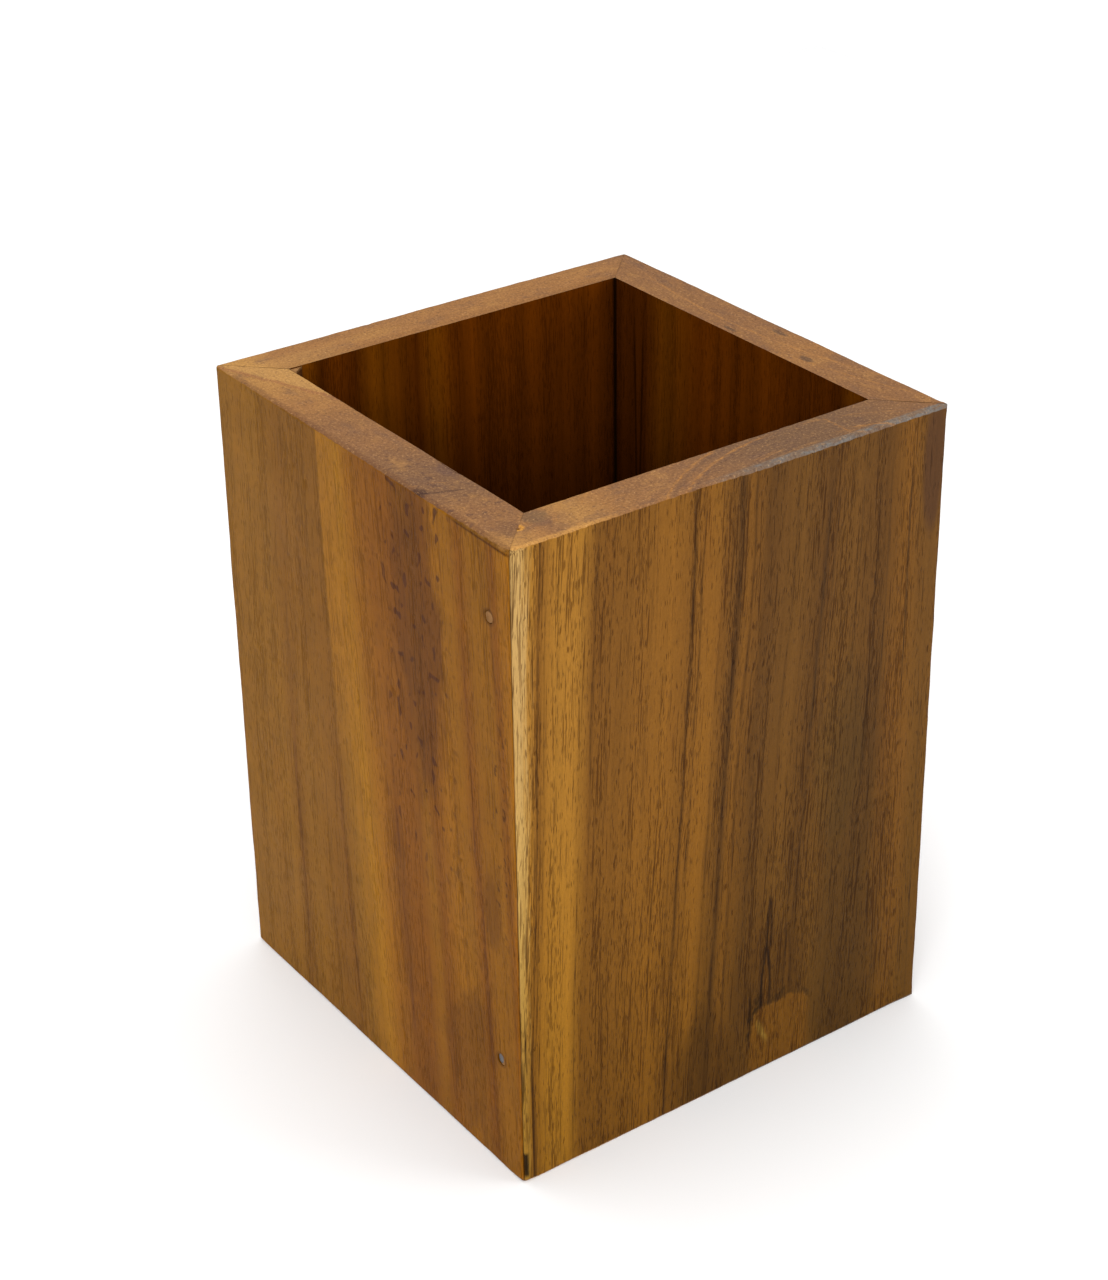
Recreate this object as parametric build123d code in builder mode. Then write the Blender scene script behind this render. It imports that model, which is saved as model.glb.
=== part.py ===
from build123d import *
import os

os.makedirs("parts", exist_ok=True)

# A square, open-topped box of four mitred hardwood boards standing on end, with a floor panel
# housed in a groove and two wire brads across every mitre. Millimetres, +Z up. The origin is at
# the centre of the base. The front board faces -Y and the left board faces -X.

# Driving dimensions
WIDTH = 90.0  # outside, along X and along Y
HEIGHT = 122.0
BOARD = 9.5  # thickness of a wall board
FLOOR = 5.0  # thickness of the floor panel
FLOOR_BASE = 5.0  # from the base up to the panel's underside
GROOVE = 3.2  # how far the panel's groove goes into a board
GROOVE_GAP = 0.2  # room left at the panel's edge for the wood to move

# Arrises eased by hand after the box was glued up
RIM_EASE = 0.6
CORNER_EASE = 0.7
BASE_EASE = 0.5

# Wire brads. The left and right boards are nailed to the front board through their faces, and
# the back board, put on last, is nailed to them through its own face.
BRAD_LENGTH = 25.0
SHANK = 1.2  # diameter
HEAD = 2.0  # diameter
HEAD_THICK = 0.8
POINT = 1.6  # length of the cone at the tip
POINT_SLOPE = 0.55  # how much of the radius the cone takes off
BRAD_INSET = 5.9  # from the brad to the outside of the board it is driven into
LOWER_BRAD = 23.0  # height of the brads above the base
UPPER_BRAD = 108.2
SET_DEPTH = 1.2  # head below the face, under a plug of filler
SHALLOW_SET_DEPTH = 0.3  # the one head with no filler left over it
PLUG = 2.2  # diameter of the hole left by the nail set

# Filler pressed into the inner corner at the rim, between the left and back boards
FILLER_LEG = 2.6
FILLER_HOLLOW = 0.3
FILLER_DEPTH = 6.0

# Worked out from the above
WELL = WIDTH - 2 * BOARD
HALF = WIDTH / 2
PANEL = WELL + 2 * (GROOVE - GROOVE_GAP)
BRAD_OFFSET = HALF - BRAD_INSET

# A board is what lies on the near side of its two mitre planes, which hold the Z axis
MITRE_NORMALS = {
    "front": ((1, -1, 0), (-1, -1, 0)),
    "right": ((1, -1, 0), (1, 1, 0)),
    "back": ((-1, 1, 0), (1, 1, 0)),
    "left": ((-1, 1, 0), (-1, -1, 0)),
}

# Where a corner's brads go in, and the outward normal of the face that they go through
NAILED_CORNERS = {
    "front_left": ((-HALF, -BRAD_OFFSET), (-1, 0, 0)),
    "front_right": ((HALF, -BRAD_OFFSET), (1, 0, 0)),
    "back_left": ((-BRAD_OFFSET, HALF), (0, 1, 0)),
    "back_right": ((BRAD_OFFSET, HALF), (0, 1, 0)),
}
BRAD_ROWS = {"lower": LOWER_BRAD, "upper": UPPER_BRAD}
UNFILLED = "front_left_lower"


def finish(builder, name):
    """Label a finished piece and write its STEP file."""
    builder.part.label = name
    export_step(builder.part, f"parts/{name}.step")


def outside_edges(builder, height):
    """The edges around the outside of the box at this height."""
    level = builder.edges().filter_by_position(Axis.Z, height, height)
    return level.filter_by(lambda e: max(abs(e.center().X), abs(e.center().Y)) > HALF - BOARD / 2)


# Brads, each with the plug of filler over its head where the head was set deep enough
hardware = []
for corner, ((x, y), outward) in NAILED_CORNERS.items():
    for row, height in BRAD_ROWS.items():
        name = f"{corner}_{row}"
        depth = SHALLOW_SET_DEPTH if name == UNFILLED else SET_DEPTH
        face = Plane(origin=(x, y, height), x_dir=(0, 0, 1), z_dir=outward)
        with BuildPart() as brad:
            with BuildSketch(face.offset(-depth)):
                Circle(HEAD / 2)
            extrude(amount=-HEAD_THICK)
            with BuildSketch(face.offset(-depth - HEAD_THICK)):
                Circle(SHANK / 2)
            extrude(amount=HEAD_THICK - BRAD_LENGTH)
            inward = Axis(origin=(x, y, height), direction=[-part for part in outward])
            tip = brad.edges().sort_by(inward)[-1]
            tip_face = brad.faces().sort_by(inward)[-1]
            chamfer(tip, length=SHANK / 2 * POINT_SLOPE, length2=POINT, reference=tip_face)
        finish(brad, f"brad_{name}")
        hardware.append(brad.part)

        with BuildPart() as plug:
            with BuildSketch(face.offset(-depth)):
                Circle(PLUG / 2)
            extrude(amount=depth)
        if name != UNFILLED:
            finish(plug, f"filler_plug_{name}")
        hardware.append(plug.part)

# The four wall boards, sanded together and then parted at their mitres
for side, (first_normal, second_normal) in MITRE_NORMALS.items():
    with BuildPart() as board:
        with BuildSketch():
            RectangleRounded(WIDTH, WIDTH, CORNER_EASE)
            Rectangle(WELL, WELL, mode=Mode.SUBTRACT)
        extrude(amount=HEIGHT)
        fillet(outside_edges(board, HEIGHT), RIM_EASE)
        fillet(outside_edges(board, 0), BASE_EASE)
        with BuildSketch(Plane.XY.offset(FLOOR_BASE)):
            Rectangle(WELL + 2 * GROOVE, WELL + 2 * GROOVE)
        extrude(amount=FLOOR, mode=Mode.SUBTRACT)
        split(bisect_by=Plane(origin=(0, 0, 0), z_dir=first_normal), keep=Keep.TOP)
        split(bisect_by=Plane(origin=(0, 0, 0), z_dir=second_normal), keep=Keep.TOP)
        for piece in hardware:
            add(piece, mode=Mode.SUBTRACT)
    finish(board, f"{side}_board")

# Floor panel, held in the groove on all four sides
with BuildPart() as floor_panel:
    with BuildSketch(Plane.XY.offset(FLOOR_BASE)):
        Rectangle(PANEL, PANEL)
    extrude(amount=FLOOR)
finish(floor_panel, "floor_panel")

# Filler in the inner corner at the rim
with BuildPart() as corner_filler:
    with BuildSketch(Plane.XY.offset(HEIGHT)):
        with BuildLine():
            inner_corner = (-WELL / 2, WELL / 2)
            on_back = (-WELL / 2 + FILLER_LEG, WELL / 2)
            on_left = (-WELL / 2, WELL / 2 - FILLER_LEG)
            Line(on_left, inner_corner)
            Line(inner_corner, on_back)
            SagittaArc(on_back, on_left, FILLER_HOLLOW)
        make_face()
    extrude(amount=-FILLER_DEPTH)
finish(corner_filler, "corner_filler")
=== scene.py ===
"""The looks of a small mitred teak box on end, a desk pen holder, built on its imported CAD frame."""

import math

import bpy
import numpy as np
from mathutils import Matrix, Quaternion, Vector


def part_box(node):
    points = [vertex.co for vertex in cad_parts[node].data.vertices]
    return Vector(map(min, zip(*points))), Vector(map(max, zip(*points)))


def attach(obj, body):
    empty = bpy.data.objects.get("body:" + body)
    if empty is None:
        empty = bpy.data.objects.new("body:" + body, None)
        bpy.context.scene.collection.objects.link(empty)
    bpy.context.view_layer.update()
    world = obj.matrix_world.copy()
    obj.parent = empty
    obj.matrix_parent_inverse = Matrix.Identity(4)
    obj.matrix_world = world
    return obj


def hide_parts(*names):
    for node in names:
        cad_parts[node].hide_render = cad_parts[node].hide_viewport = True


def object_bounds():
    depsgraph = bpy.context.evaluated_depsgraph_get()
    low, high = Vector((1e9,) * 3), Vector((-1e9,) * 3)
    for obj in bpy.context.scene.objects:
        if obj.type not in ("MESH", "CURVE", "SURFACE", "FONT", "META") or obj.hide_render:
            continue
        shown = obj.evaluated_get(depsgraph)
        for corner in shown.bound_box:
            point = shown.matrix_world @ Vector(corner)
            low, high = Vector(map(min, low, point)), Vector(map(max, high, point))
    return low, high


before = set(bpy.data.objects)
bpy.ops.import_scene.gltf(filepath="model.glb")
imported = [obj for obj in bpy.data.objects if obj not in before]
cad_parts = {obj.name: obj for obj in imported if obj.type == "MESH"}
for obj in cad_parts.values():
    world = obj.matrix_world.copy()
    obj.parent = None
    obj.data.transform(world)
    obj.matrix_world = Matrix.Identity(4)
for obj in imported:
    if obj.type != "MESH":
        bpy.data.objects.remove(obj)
cad_low, cad_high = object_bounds()

# Everything below is in millimetres until it reaches a mesh, a lamp or the camera.
MM = 0.001
HALF = cad_high.x / MM
HEIGHT = cad_high.z / MM
_low, _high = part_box("front_board")
BOARD = (_high.y - _low.y) / MM
WELL = HALF - BOARD


# ---------------------------------------------------------------- noise for meshes

class Noise:
    """Smooth random values between -1 and 1 over space, the same on every run."""

    SIZE = 48

    def __init__(self, seed):
        self.grid = np.random.default_rng(seed).uniform(-1, 1, (self.SIZE,) * 3)

    def __call__(self, points, cell):
        scaled = np.asarray(points, float) / cell
        corner = np.floor(scaled).astype(int)
        part = scaled - corner
        part = part * part * (3 - 2 * part)
        total = np.zeros(len(scaled))
        for step in np.ndindex(2, 2, 2):
            weight = np.prod(np.where(step, part, 1 - part), axis=1)
            i, j, k = ((corner + step) % self.SIZE).T
            total += weight * self.grid[i, j, k]
        return total


def smooth(x, low, high):
    """0 below low, 1 above high, and an S between them."""
    t = np.clip((x - low) / (high - low), 0, 1)
    return t * t * (3 - 2 * t)


# ---------------------------------------------------------------- the wall boards

# Turns of a quarter about Z from the front board's place, whose outside faces -Y.
QUARTER_TURNS = {"front_board": 0, "right_board": 1, "back_board": 2, "left_board": 3}

ARRIS = 0.62  # usual radius of the sanded outer edges
FRONT_CORNER = np.array([-HALF, -HALF, HEIGHT])
FOOT_CORNER = np.array([-HALF, -HALF, 0])

PINHOLE = np.array([-39.25, -39.25])  # in the rim's front mitre
MITRE_SLOT = (1.3, 6.2)  # heights between which the front mitre stands open

wobble = Noise(3)
dents = Noise(11)


def turned(points, quarters):
    """The points turned about Z, counter-clockwise from above."""
    x, y, z = points.T
    for _ in range(quarters % 4):
        x, y = -y, x
    return np.stack([x, y, z], axis=1)


def graded(length, step, fine=(0.05, 0.1, 0.16, 0.24, 0.34, 0.46, 0.6, 0.78, 1.0, 1.3, 1.7)):
    """Places from 0 to length, close together near both ends and a step apart between."""
    fine = np.array(fine)
    middle = length - 2 * fine[-1]
    inner = fine[-1] + np.linspace(0, middle, max(2, round(middle / step)) + 1)[1:-1]
    return np.concatenate([[0], fine, inner, length - fine[::-1], [length]])


def lattice_skin(counts):
    """Which points of a 3-D lattice are on its skin, and the skin's quads with outward normals."""
    on_skin = np.zeros(counts, bool)
    for axis in range(3):
        for end in (0, -1):
            on_skin[(slice(None),) * axis + (end,)] = True
    index = np.full(counts, -1)
    index[on_skin] = np.arange(on_skin.sum())
    quads = []
    for axis in range(3):
        for end in (0, -1):
            side = np.take(index, end, axis=axis)
            ring = [side[:-1, :-1], side[1:, :-1], side[1:, 1:], side[:-1, 1:]]
            outward = (end == -1) != (axis == 1)
            if not outward:
                ring.reverse()
            quads.append(np.stack([corner.ravel() for corner in ring], axis=1))
    return np.argwhere(on_skin), np.concatenate(quads)


def arris_radius(points):
    """How round the sanded outside edges are at each point: more at the worn places."""
    radius = ARRIS + 0.16 * wobble(points, 9) + 0.07 * wobble(points + 50, 2.5)
    near_top_corner = np.linalg.norm(points - FRONT_CORNER, axis=1)
    near_foot_corner = np.linalg.norm(points - FOOT_CORNER, axis=1)
    radius += 0.55 * np.exp(-((near_top_corner / 3.5) ** 2))
    radius += 0.55 * np.exp(-((near_foot_corner / 2.0) ** 2))
    x, y, z = points.T
    at_rim = smooth(z, HEIGHT - 3, HEIGHT - 1)
    on_front = smooth(-y, HALF - 2, HALF - 1)
    at_right = smooth(x, HALF - 4, HALF - 1.5) * on_front
    radius += 0.4 * at_rim * on_front * smooth(x, -8, 6) - 0.62 * at_right * at_rim - 0.12 * at_right
    on_left = smooth(-x, HALF - 2, HALF - 1)
    radius += 0.25 * at_rim * on_left * smooth(-y, 22, 30)
    at_foot = smooth(z, 3, 1)
    return radius - 0.12 * at_foot


def ease_edges(points):
    """Round the outside edges of the assembled box. Gives the points and their normals."""
    radius = arris_radius(points)
    low = np.stack([radius - HALF, radius - HALF, radius], axis=1)
    high = np.stack([HALF - radius, HALF - radius, HEIGHT - radius], axis=1)
    centre = np.clip(points, low, high)
    reach = points - centre
    length = np.linalg.norm(reach, axis=1)
    outside = length > 1e-9
    normal = np.zeros_like(points)
    normal[outside] = reach[outside] / length[outside, None]
    moved = np.where((length > radius)[:, None], centre + normal * radius[:, None], points)
    eased = np.linalg.norm(moved - points, axis=1)
    return moved, normal, eased


def gaussian(distance, width):
    return np.exp(-((distance / width) ** 2))


def wear_depth(points):
    """How far the outside is worn or split in from its ideal surface, in millimetres."""
    x, y, z = points.T
    to_mitre = np.abs(np.abs(x) - np.abs(y)) / math.sqrt(2)
    depth = 0.035 * (1 + wobble(points + 20, 17)) + 0.012 * (1 + wobble(points + 70, (3, 3, 9)))
    depth += 0.06 * gaussian(to_mitre, 0.07) * smooth(z, HEIGHT - 0.2, HEIGHT - 2)

    # The front corner's mitre is open for a few millimetres above the foot, and chipped.
    front_corner = (x < 0) & (y < 0)
    open_low = smooth(z, 0.7, 1.6) * smooth(z, 6.3, 5.2)
    depth += front_corner * 0.75 * open_low * gaussian(to_mitre, 0.28)
    depth += front_corner * 0.12 * gaussian(to_mitre, 0.1) * smooth(z, 60, 20)

    # Small dents along the arrises.
    edge = smooth(np.minimum(HALF - np.abs(x), HALF - np.abs(y)), 1.4, 0.2)
    depth += 0.16 * edge * smooth(dents(points, 1.7), 0.55, 0.95)
    return depth


def rim_depth(points):
    """The rim is sanded by hand, so it is a little uneven, and a pinhole opens in its front mitre."""
    waves = 0.03 * (1 + wobble(points + 90, (6, 6, 50)))
    scratches = 0.015 * (1 + dents(points + 9, (1.3, 1.3, 30)))
    return waves + scratches + pinhole_depth(points)


def pinhole_depth(points):
    return 0.55 * gaussian(np.linalg.norm(points[:, :2] - PINHOLE, axis=1), 0.32)


def mitre_shift(points, below_face):
    """How the face of the mitre gives way under a chip in the arris or the pinhole in the rim."""
    inward = -np.sign(points) * np.array([1, 1, 0]) / math.sqrt(2)
    near_face = np.clip(1 - below_face * math.sqrt(2) / 3, 0, 1)
    near_rim = np.clip(1 - (HEIGHT - points[:, 2]) / 3, 0, 1)
    shift = inward * (wear_depth(points) * near_face)[:, None]
    shift[:, 2] -= pinhole_depth(points) * near_rim
    return shift


def inner_edge_depth(points):
    """Where the inner edge of the rim is nicked or stepped: distance into the wood."""
    x, y, z = points.T
    near_rim = smooth(z, HEIGHT - 5, HEIGHT - 0.5)
    left = x < 1.5 - WELL
    step = left * 0.28 * smooth(y, -17.8, -17.4) * smooth(y, -10, -15)
    nicks = 0.12 * smooth(dents(points + 31, (1.6, 1.6, 3)), 0.5, 0.95)
    return near_rim * (step + nicks)


def board_mesh(name, quarters):
    """One mitred board as a closed mesh, with its worn edges as real shape."""
    along = graded(2 * HALF, 0.9) / (2 * HALF)
    across = graded(BOARD, 0.3, (0.06, 0.14, 0.26, 0.42, 0.62, 0.85)) / BOARD
    up = graded(HEIGHT, 0.8)
    cells, quads = lattice_skin((len(along), len(across), len(up)))
    u, v, w = along[cells[:, 0]], across[cells[:, 1]], up[cells[:, 2]]
    flat = np.stack([(2 * u - 1) * (HALF - BOARD * v), BOARD * v - HALF, w], axis=1)
    points = turned(flat, quarters)

    outside = cells[:, 1] == 0
    top = cells[:, 2] == len(up) - 1
    bottom = cells[:, 2] == 0
    inside = cells[:, 1] == len(across) - 1
    moved, normal, eased = ease_edges(points)
    skin = outside | top | bottom
    points = np.where(skin[:, None] | (eased > 0)[:, None], moved, points)

    on_mitre = ((cells[:, 0] == 0) | (cells[:, 0] == len(along) - 1)) & ~outside & ~top
    depth = wear_depth(points) * (outside | top) + rim_depth(points) * top
    shift = mitre_shift(points, BOARD * v) * on_mitre[:, None]
    points = points - normal * depth[:, None] + shift

    to_wood = turned(np.array([[0.0, -1.0, 0.0]]), quarters)[0]
    hollow = 0.03 * (1 + wobble(points + 40, 15)) + inner_edge_depth(points)
    to_side = turned(np.array([[1.0, 0.0, 0.0]]), quarters)[0]
    points = points + to_wood * (hollow * inside)[:, None]
    end = np.where(np.abs(2 * u - 1) == 1, 2 * u - 1, 0)
    points = points + to_side * (hollow * inside * end)[:, None]

    mesh = bpy.data.meshes.new(name)
    mesh.from_pydata((points * MM).tolist(), [], quads.tolist())
    mesh.materials.append(None)
    mesh.materials.append(None)
    in_well = inside[quads].all(axis=1)
    mesh.polygons.foreach_set("material_index", in_well.astype(np.int32))
    attribute = mesh.attributes.new("eased", "FLOAT", "POINT")
    attribute.data.foreach_set("value", np.clip(eased / 0.2, 0, 1).astype(np.float32))
    return mesh


def link(name, mesh):
    piece = bpy.data.objects.new(name, mesh)
    bpy.context.scene.collection.objects.link(piece)
    return piece


# ---------------------------------------------------------------- shader trees as formulas

class Num:
    """A number at every point of a surface. Arithmetic on it adds Math nodes."""

    def __init__(self, tree, socket):
        self.tree = tree
        self.socket = socket

    def math(self, operation, *others):
        node = self.tree.nodes.new("ShaderNodeMath")
        node.operation = operation
        for socket, value in zip(node.inputs, (self, *others)):
            feed(self.tree, socket, value)
        return Num(self.tree, node.outputs[0])

    def __add__(self, other):
        return self.math("ADD", other)

    def __sub__(self, other):
        return self.math("SUBTRACT", other)

    def __rsub__(self, other):
        return (self * -1) + other

    def __mul__(self, other):
        return self.math("MULTIPLY", other)

    def __truediv__(self, other):
        return self.math("DIVIDE", other)

    def __pow__(self, other):
        return self.math("POWER", other)

    def __abs__(self):
        return self.math("ABSOLUTE")

    __radd__ = __add__
    __rmul__ = __mul__

    def max(self, other):
        return self.math("MAXIMUM", other)

    def min(self, other):
        return self.math("MINIMUM", other)

    def steps(self, low, high):
        """0 at low, 1 at high and an S between them. Low may be the larger of the two."""
        node = self.tree.nodes.new("ShaderNodeMapRange")
        node.interpolation_type = "SMOOTHSTEP"
        for name, value in (("Value", self), ("From Min", low), ("From Max", high)):
            feed(self.tree, node.inputs[name], value)
        return Num(self.tree, node.outputs["Result"])

    def line(self, width):
        """1 where the number is 0, falling to 0 at a width to either side."""
        return abs(self).steps(width, 0)

    def span(self, low, high, soft):
        """1 between low and high, with soft ends."""
        return self.steps(low - soft, low + soft) * self.steps(high + soft, high - soft)

    def length(self):
        """The length of a place, when the number is a place."""
        node = self.tree.nodes.new("ShaderNodeVectorMath")
        node.operation = "LENGTH"
        feed(self.tree, node.inputs[0], self)
        return Num(self.tree, node.outputs["Value"])


def feed(tree, socket, value):
    """Give a socket a constant or the output of another node."""
    if isinstance(value, Num):
        tree.links.new(value.socket, socket)
    elif isinstance(value, tuple) and len(value) == 3 and socket.type == "RGBA":
        socket.default_value = (*value, 1)
    else:
        socket.default_value = value


def tint(red, green, blue):
    """A colour given as 0 to 255 on a screen, as the linear values that a shader works with."""
    def linear(value):
        value /= 255
        return value / 12.92 if value <= 0.04045 else ((value + 0.055) / 1.055) ** 2.4

    return (linear(red), linear(green), linear(blue))


def plain(red, green, blue):
    """Three values from 0 to 255 as values from 0 to 1, with no change of scale."""
    return (red / 255, green / 255, blue / 255)


class Paint:
    """A material being built: places on the object in millimetres, noise, ramps and mixes."""

    def __init__(self, name, specular=0.5):
        self.material = bpy.data.materials.new(name)
        self.material.use_nodes = True
        self.tree = self.material.node_tree
        self.surface = self.tree.nodes["Principled BSDF"]
        self.surface.inputs["Specular IOR Level"].default_value = specular
        coordinates = self.tree.nodes.new("ShaderNodeTexCoord")
        split = self.tree.nodes.new("ShaderNodeSeparateXYZ")
        self.tree.links.new(coordinates.outputs["Object"], split.inputs[0])
        self.x, self.y, self.z = (Num(self.tree, out) * (1 / MM) for out in split.outputs)

    def place(self, a, b, c):
        node = self.tree.nodes.new("ShaderNodeCombineXYZ")
        for socket, value in zip(node.inputs, (a, b, c)):
            feed(self.tree, socket, value)
        return Num(self.tree, node.outputs[0])

    def noise(self, place, rates, seed=0.0, detail=0.0, roughness=0.5):
        """Noise from about -1 to 1. Rates are features per millimetre along the three axes."""
        moved = self.tree.nodes.new("ShaderNodeVectorMath")
        moved.operation = "MULTIPLY_ADD"
        feed(self.tree, moved.inputs[0], place)
        moved.inputs[1].default_value = rates
        moved.inputs[2].default_value = (seed * 7.3 + 11, seed * 3.1 + 5, seed * 5.7 + 2)
        node = self.tree.nodes.new("ShaderNodeTexNoise")
        self.tree.links.new(moved.outputs[0], node.inputs["Vector"])
        node.inputs["Scale"].default_value = 1.0
        node.inputs["Detail"].default_value = detail
        node.inputs["Roughness"].default_value = roughness
        return (Num(self.tree, node.outputs[0]) - 0.5) * 3.2

    def ramp(self, value, low, high, stops, tint=tint):
        """A colour for each value from low to high. Stops are {value: screen colour}."""
        node = self.tree.nodes.new("ShaderNodeValToRGB")
        feed(self.tree, node.inputs[0], (value - low) * (1 / (high - low)))
        elements = node.color_ramp.elements
        elements.remove(elements[1])
        elements[0].position = 0
        elements[0].color = (*tint(*stops[min(stops)]), 1)
        for place, colour in stops.items():
            if place > low:
                element = elements.new((place - low) / (high - low))
                element.color = (*tint(*colour), 1)
        return Num(self.tree, node.outputs[0])

    def mix(self, amount, first, second, blend="MIX"):
        """First where the amount is 0 and second where it is 1."""
        node = self.tree.nodes.new("ShaderNodeMix")
        node.data_type = "RGBA"
        node.blend_type = blend
        feed(self.tree, node.inputs["Factor"], amount)
        colours = [socket for socket in node.inputs if socket.type == "RGBA"]
        feed(self.tree, colours[0], first)
        feed(self.tree, colours[1], second)
        return Num(self.tree, [out for out in node.outputs if out.type == "RGBA"][0])

    def scaled(self, colour, factor):
        """The colour made lighter or darker."""
        node = self.tree.nodes.new("ShaderNodeHueSaturation")
        feed(self.tree, node.inputs["Color"], colour)
        feed(self.tree, node.inputs["Value"], factor)
        return Num(self.tree, node.outputs[0])

    def filtered(self, colour, through):
        """The colour as seen through a filter that passes these parts of red, green and blue."""
        return self.mix(1.0, colour, through, "MULTIPLY")

    def attribute(self, name):
        node = self.tree.nodes.new("ShaderNodeAttribute")
        node.attribute_name = name
        return Num(self.tree, node.outputs["Fac"])

    def finish(self, colour, roughness, height, depth=0.1):
        """Join colour, roughness and relief to the surface. Height is in units of depth, in mm."""
        feed(self.tree, self.surface.inputs["Base Color"], colour)
        feed(self.tree, self.surface.inputs["Roughness"], roughness)
        bump = self.tree.nodes.new("ShaderNodeBump")
        bump.inputs["Distance"].default_value = depth * MM
        feed(self.tree, bump.inputs["Height"], height)
        self.tree.links.new(bump.outputs["Normal"], self.surface.inputs["Normal"])
        return self.material


# ---------------------------------------------------------------- teak

MIDDLE = HEIGHT / 2


class Teak(Paint):
    """Teak of one board: places along the board, deep into it and up it, all in millimetres."""

    def __init__(self, name, quarters, seed, specular, lean=None):
        super().__init__(name, specular)
        self.seed = seed
        x, y = self.x, self.y
        for _ in range(quarters):
            x, y = y, x * -1
        self.along = x
        self.deep = y + HALF
        wander = self.noise(self.place(x, y, self.z), (0.03, 0.03, 0.022), seed, 1) * 0.55
        wander += self.noise(self.place(x, y, self.z), (0.14, 0.14, 0.06), seed + 1) * 0.1
        slope = lean(self) if lean else 0.0
        self.across = x - (self.z - MIDDLE) * slope + wander
        self.grain = self.place(self.across, self.deep, self.z)
        self.spot = self.place(x, self.deep, self.z)

    def pores(self, crowd=0.0):
        """Open vessels: fine dark dashes on a face, dots on end grain. Crowd adds more."""
        clusters = self.noise(self.grain, (0.35, 0.15, 0.012), self.seed + 2, 1)
        short = self.noise(self.grain, (7.0, 7.0, 0.5), self.seed + 3)
        long = self.noise(self.grain, (4.6, 4.6, 0.08), self.seed + 4)
        fine = (short + clusters * 0.4 + crowd).steps(0.35, 0.85)
        return fine.max((long + clusters * 0.4 + crowd).steps(0.5, 0.9))

    def fibres(self):
        """Fine streaks along the grain."""
        thin = self.noise(self.grain, (6.0, 6.0, 0.45), self.seed + 5, 2, 0.7)
        wide = self.noise(self.grain, (1.2, 1.2, 0.012), self.seed + 6, 3, 0.75)
        return thin * 0.55 + wide * 0.75

    def sheen_waves(self):
        """The faint cross ripple where the grain turns in and out of the surface."""
        return self.noise(self.spot, (0.16, 0.16, 0.2), self.seed + 7, 2)

    def lines(self, colour, low, high, shade, table, broken=0.3):
        """Ragged lines along the grain, from low to high: {place across: (half-width, strength)}."""
        stops = {}
        for place, (width, strength) in table.items():
            stops[place - width] = stops[place + width] = (0, 0, 0)
            stops[place] = (round(255 * strength),) * 3
        ragged = self.noise(self.grain, (1.1, 1.1, 0.09), self.seed + low + high, 1)
        first, last = min(stops), max(stops)
        stops = dict(sorted(stops.items()))
        peaks = self.ramp(self.across + ragged * 0.2, first, last, stops, tint=plain)
        amount = peaks * self.z.span(low, high, 8) * (ragged * 0.8 + (1 - broken)).min(1).max(0.1)
        return self.mix(amount, colour, tint(*shade))

    def patch(self, colour, centre, size, shade, strength, ragged=0.25):
        """A soft spot: size is its half-width across and its half-height up the grain."""
        u = (self.across - centre[0]) / size[0]
        v = (self.z - centre[1]) / size[1]
        rough = self.noise(self.grain, (0.3, 0.3, 0.07), self.seed + centre[0], 2) * ragged
        amount = (u * u + v * v + rough).steps(1.25, 0.35)
        return self.mix(amount * strength, colour, tint(*shade))

    def patch_flat(self, colour, centre, size, shade, strength):
        """A soft spot on the rim: its centre and size are along the board and into it."""
        u = (self.along - centre[0]) / size[0]
        v = (self.deep - centre[1]) / size[1]
        rough = self.noise(self.spot, (0.8, 0.8, 1), self.seed + centre[0], 2) * 0.35
        amount = (u * u + v * v + rough).steps(1.2, 0.2)
        return self.mix(amount * strength, colour, tint(*shade))

    def grained(self, colour, fibre=0.2, ripple=0.035, pore=0.62, crowd=0.0):
        """The colour with fibres, ripple and open vessels on it, and the relief that goes with them."""
        fibres = self.fibres()
        pores = self.pores(crowd)
        grit = self.noise(self.spot, (2.6, 2.6, 1.7), self.seed + 10, 2, 0.7)
        colour = self.scaled(colour, fibres * fibre + grit * 0.09 + self.sheen_waves() * ripple + 1)
        warm = self.noise(self.grain, (0.22, 0.22, 0.02), self.seed + 8, 1)
        colour = self.mix(warm.steps(0.1, 0.9) * 0.08, colour, tint(172, 92, 34), "MULTIPLY")
        colour = self.mix(pores * pore, colour, tint(118, 88, 70), "MULTIPLY")
        return colour, fibres * 0.12 - pores

    def mitre(self, colour):
        """The dark glue line where this board meets its neighbours."""
        gap = abs(abs(self.along) - (HALF - self.deep)) * (1 / math.sqrt(2))
        ragged = self.noise(self.spot, (0.7, 0.7, 0.12), self.seed + 9) * 0.5 + 0.5
        on_rim = self.z.steps(HEIGHT - 0.8, HEIGHT - 0.2)
        strength = ragged.max(0.1) * (1 - on_rim * 0.82)
        return self.mix(gap.steps(0.22, 0.02) * strength, colour, tint(52, 30, 14))


# The colours below are those seen on the finished box. These filters take off what the studio's
# light and the wood's gloss add to them.
FACE_FILTER = {
    "front": (0.83, 0.79, 0.52),
    "left": (0.88, 0.79, 0.19),
    "right": (0.8, 0.71, 0.36),
    "back": (0.8, 0.71, 0.36),
}
FOOT_SHADE = {"front": 0.22, "left": 0.06, "right": 0.12, "back": 0.1}  # darker towards the foot
RIM_FILTER = (0.72, 0.68, 0.58)
WELL_FILTER = (0.88, 0.84, 0.3)

# The wood's tones, and the broad bands that they make at mid height, left to right from outside.
# The right and back faces have colours of their own.
FACE_TONES = {
    "straw": (188, 140, 72),
    "honey": (162, 114, 52),
    "amber": (149, 100, 46),
    "tan": (136, 91, 40),
    "russet": (128, 80, 38),
    "brown": (122, 81, 37),
    "umber": (109, 74, 38),
    "dark": (96, 64, 34),
    "olive": (137, 96, 58),
    "drab": (127, 86, 51),
}

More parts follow.
